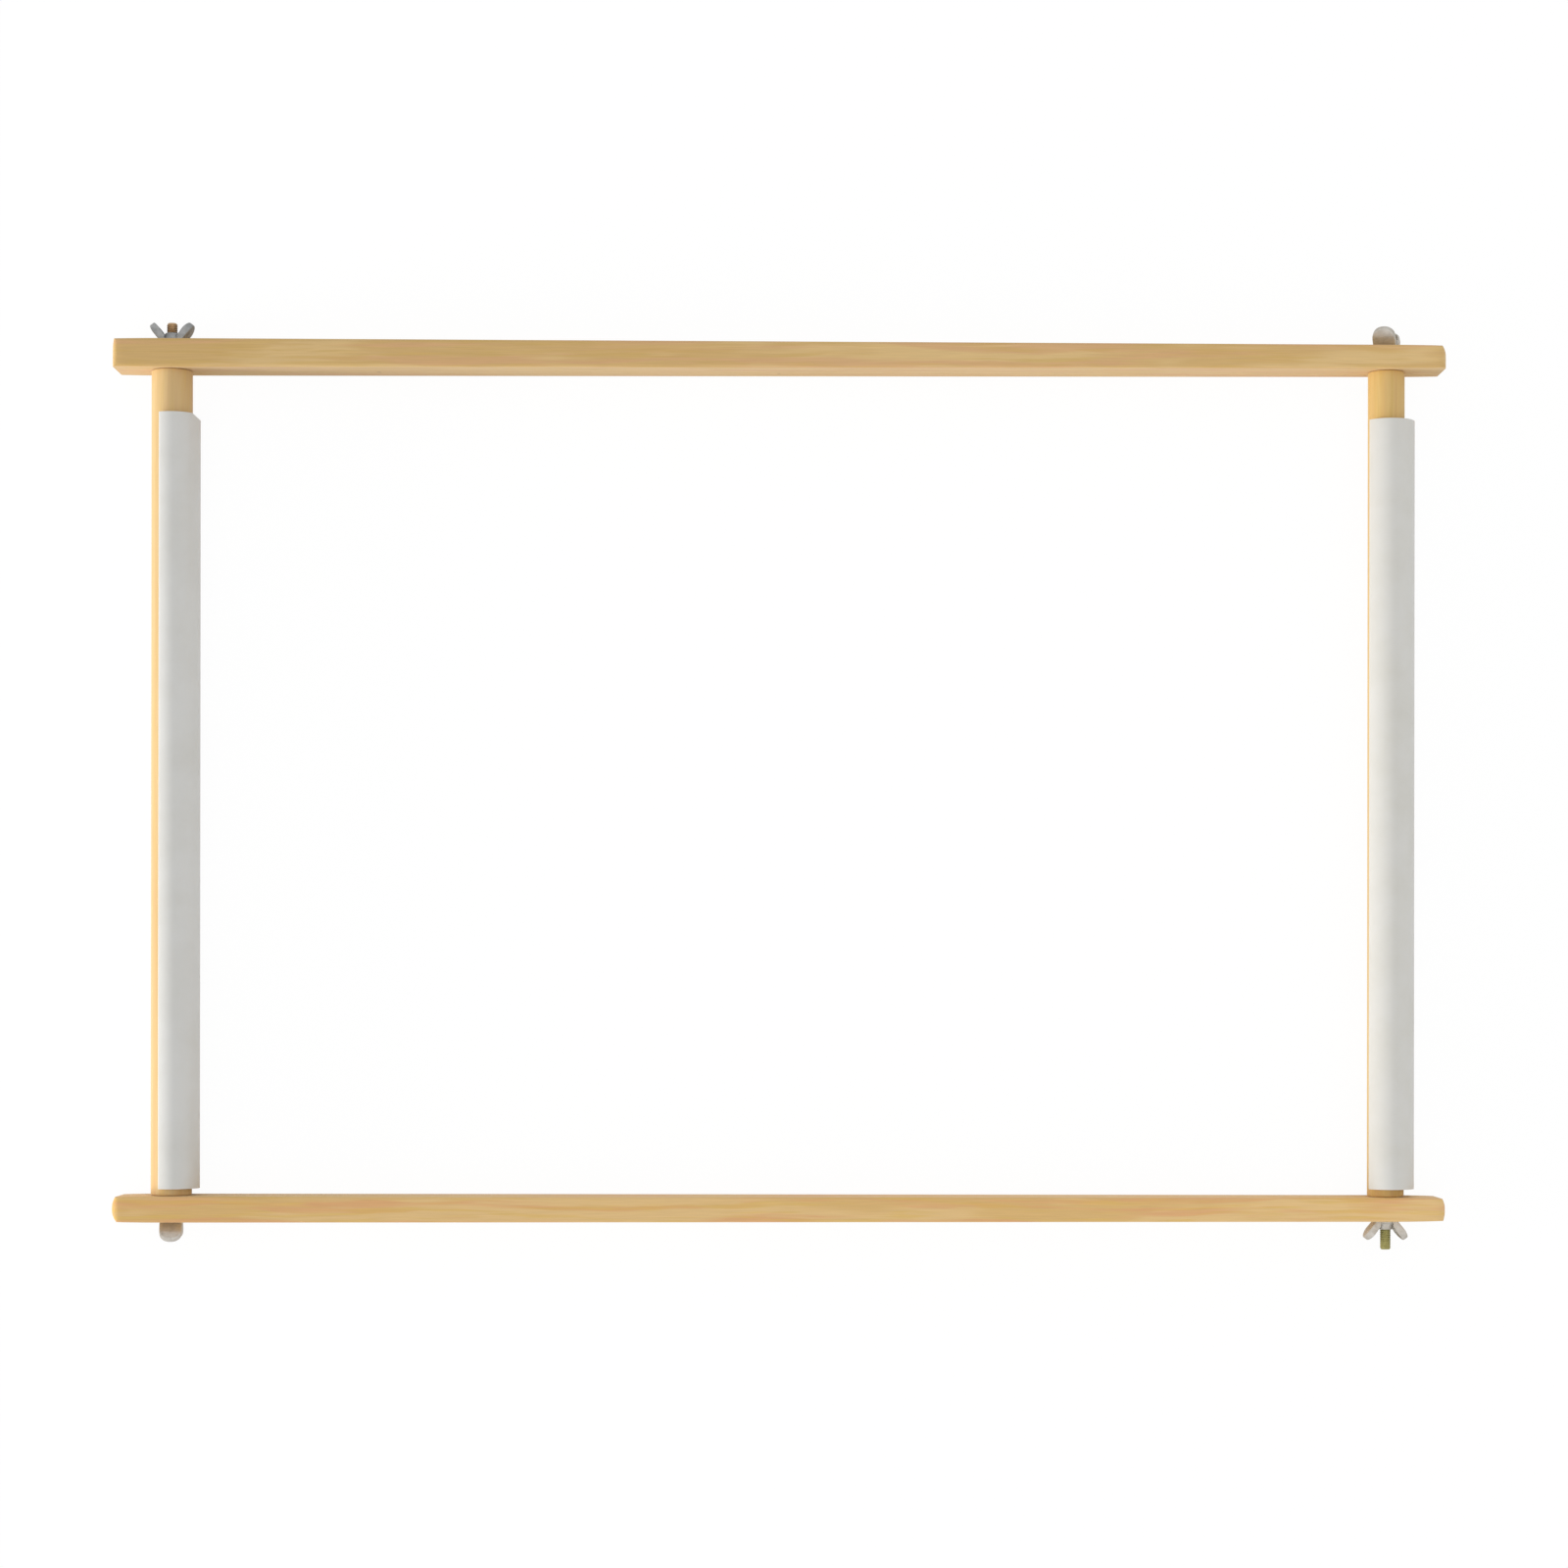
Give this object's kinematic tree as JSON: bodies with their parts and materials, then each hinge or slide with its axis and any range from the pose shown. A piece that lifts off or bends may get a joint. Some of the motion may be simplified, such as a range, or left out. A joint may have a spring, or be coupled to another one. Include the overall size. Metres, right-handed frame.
{
  "type": "embroidery scroll frame",
  "caption": "Rectangular wooden embroidery frame: long side bars, round rollers held by hanger bolts and wing nuts, and springy plastic channels that hold the fabric.",
  "frame": {"origin": "middle of the whole frame's box, on the plane of the side bars' backs", "axes": "+X along the side bars, +Y along the rollers towards the top bar, +Z from the backs of the bars to the working side"},
  "size_m": [0.75, 0.5234, 0.0301],
  "materials": {
    "side_bar_pine": "sanded, unvarnished",
    "roller_pine": "sanded, unvarnished",
    "clip_plastic": "smooth moulded",
    "bolt_steel": "yellow zinc plated",
    "nut_steel": "bright zinc plated"
  },
  "bodies": {
    "side_bars": {"top_side_bar": "side_bar_pine", "bottom_side_bar": "side_bar_pine"},
    "left_roller": {"left_roller": "roller_pine", "top_left_hanger_bolt": "bolt_steel", "bottom_left_hanger_bolt": "bolt_steel"},
    "right_roller": {"right_roller": "roller_pine", "top_right_hanger_bolt": "bolt_steel", "bottom_right_hanger_bolt": "bolt_steel"},
    "left_fabric_clip": {"left_fabric_clip": "clip_plastic"},
    "right_fabric_clip": {"right_fabric_clip": "clip_plastic"},
    "top_left_wing_nut": {"top_left_wing_nut": "nut_steel"},
    "top_right_wing_nut": {"top_right_wing_nut": "nut_steel"},
    "bottom_left_wing_nut": {"bottom_left_wing_nut": "nut_steel"},
    "bottom_right_wing_nut": {"bottom_right_wing_nut": "nut_steel"}
  },
  "joints": [
    {"name": "left_roller_turn", "type": "hinge", "parent": "side_bars", "child": "left_roller", "pos_m": [-0.3435, 0.0013, 0.015], "axis": [0, 1, 0], "continuous": true},
    {"name": "right_roller_turn", "type": "hinge", "parent": "side_bars", "child": "right_roller", "pos_m": [0.3435, 0.0013, 0.015], "axis": [0, 1, 0], "continuous": true},
    {"name": "left_clip_slide", "type": "slide", "parent": "left_roller", "child": "left_fabric_clip", "axis": [0, 1, 0], "range_m": [-0.0039, 0.0249]},
    {"name": "right_clip_slide", "type": "slide", "parent": "right_roller", "child": "right_fabric_clip", "axis": [0, 1, 0], "range_m": [-0.0044, 0.0279]},
    {"name": "top_left_nut_turn", "type": "hinge", "parent": "left_roller", "child": "top_left_wing_nut", "pos_m": [-0.3435, 0.25606, 0.015], "axis": [0, 1, 0], "continuous": true},
    {"name": "top_right_nut_turn", "type": "hinge", "parent": "right_roller", "child": "top_right_wing_nut", "pos_m": [0.3435, 0.25313, 0.015], "axis": [0, 1, 0], "continuous": true},
    {"name": "bottom_left_nut_turn", "type": "hinge", "parent": "left_roller", "child": "bottom_left_wing_nut", "pos_m": [-0.3435, -0.25205, 0.015], "axis": [0, -1, 0], "continuous": true},
    {"name": "bottom_right_nut_turn", "type": "hinge", "parent": "right_roller", "child": "bottom_right_wing_nut", "pos_m": [0.3435, -0.25076, 0.015], "axis": [0, -1, 0], "continuous": true}
  ]
}
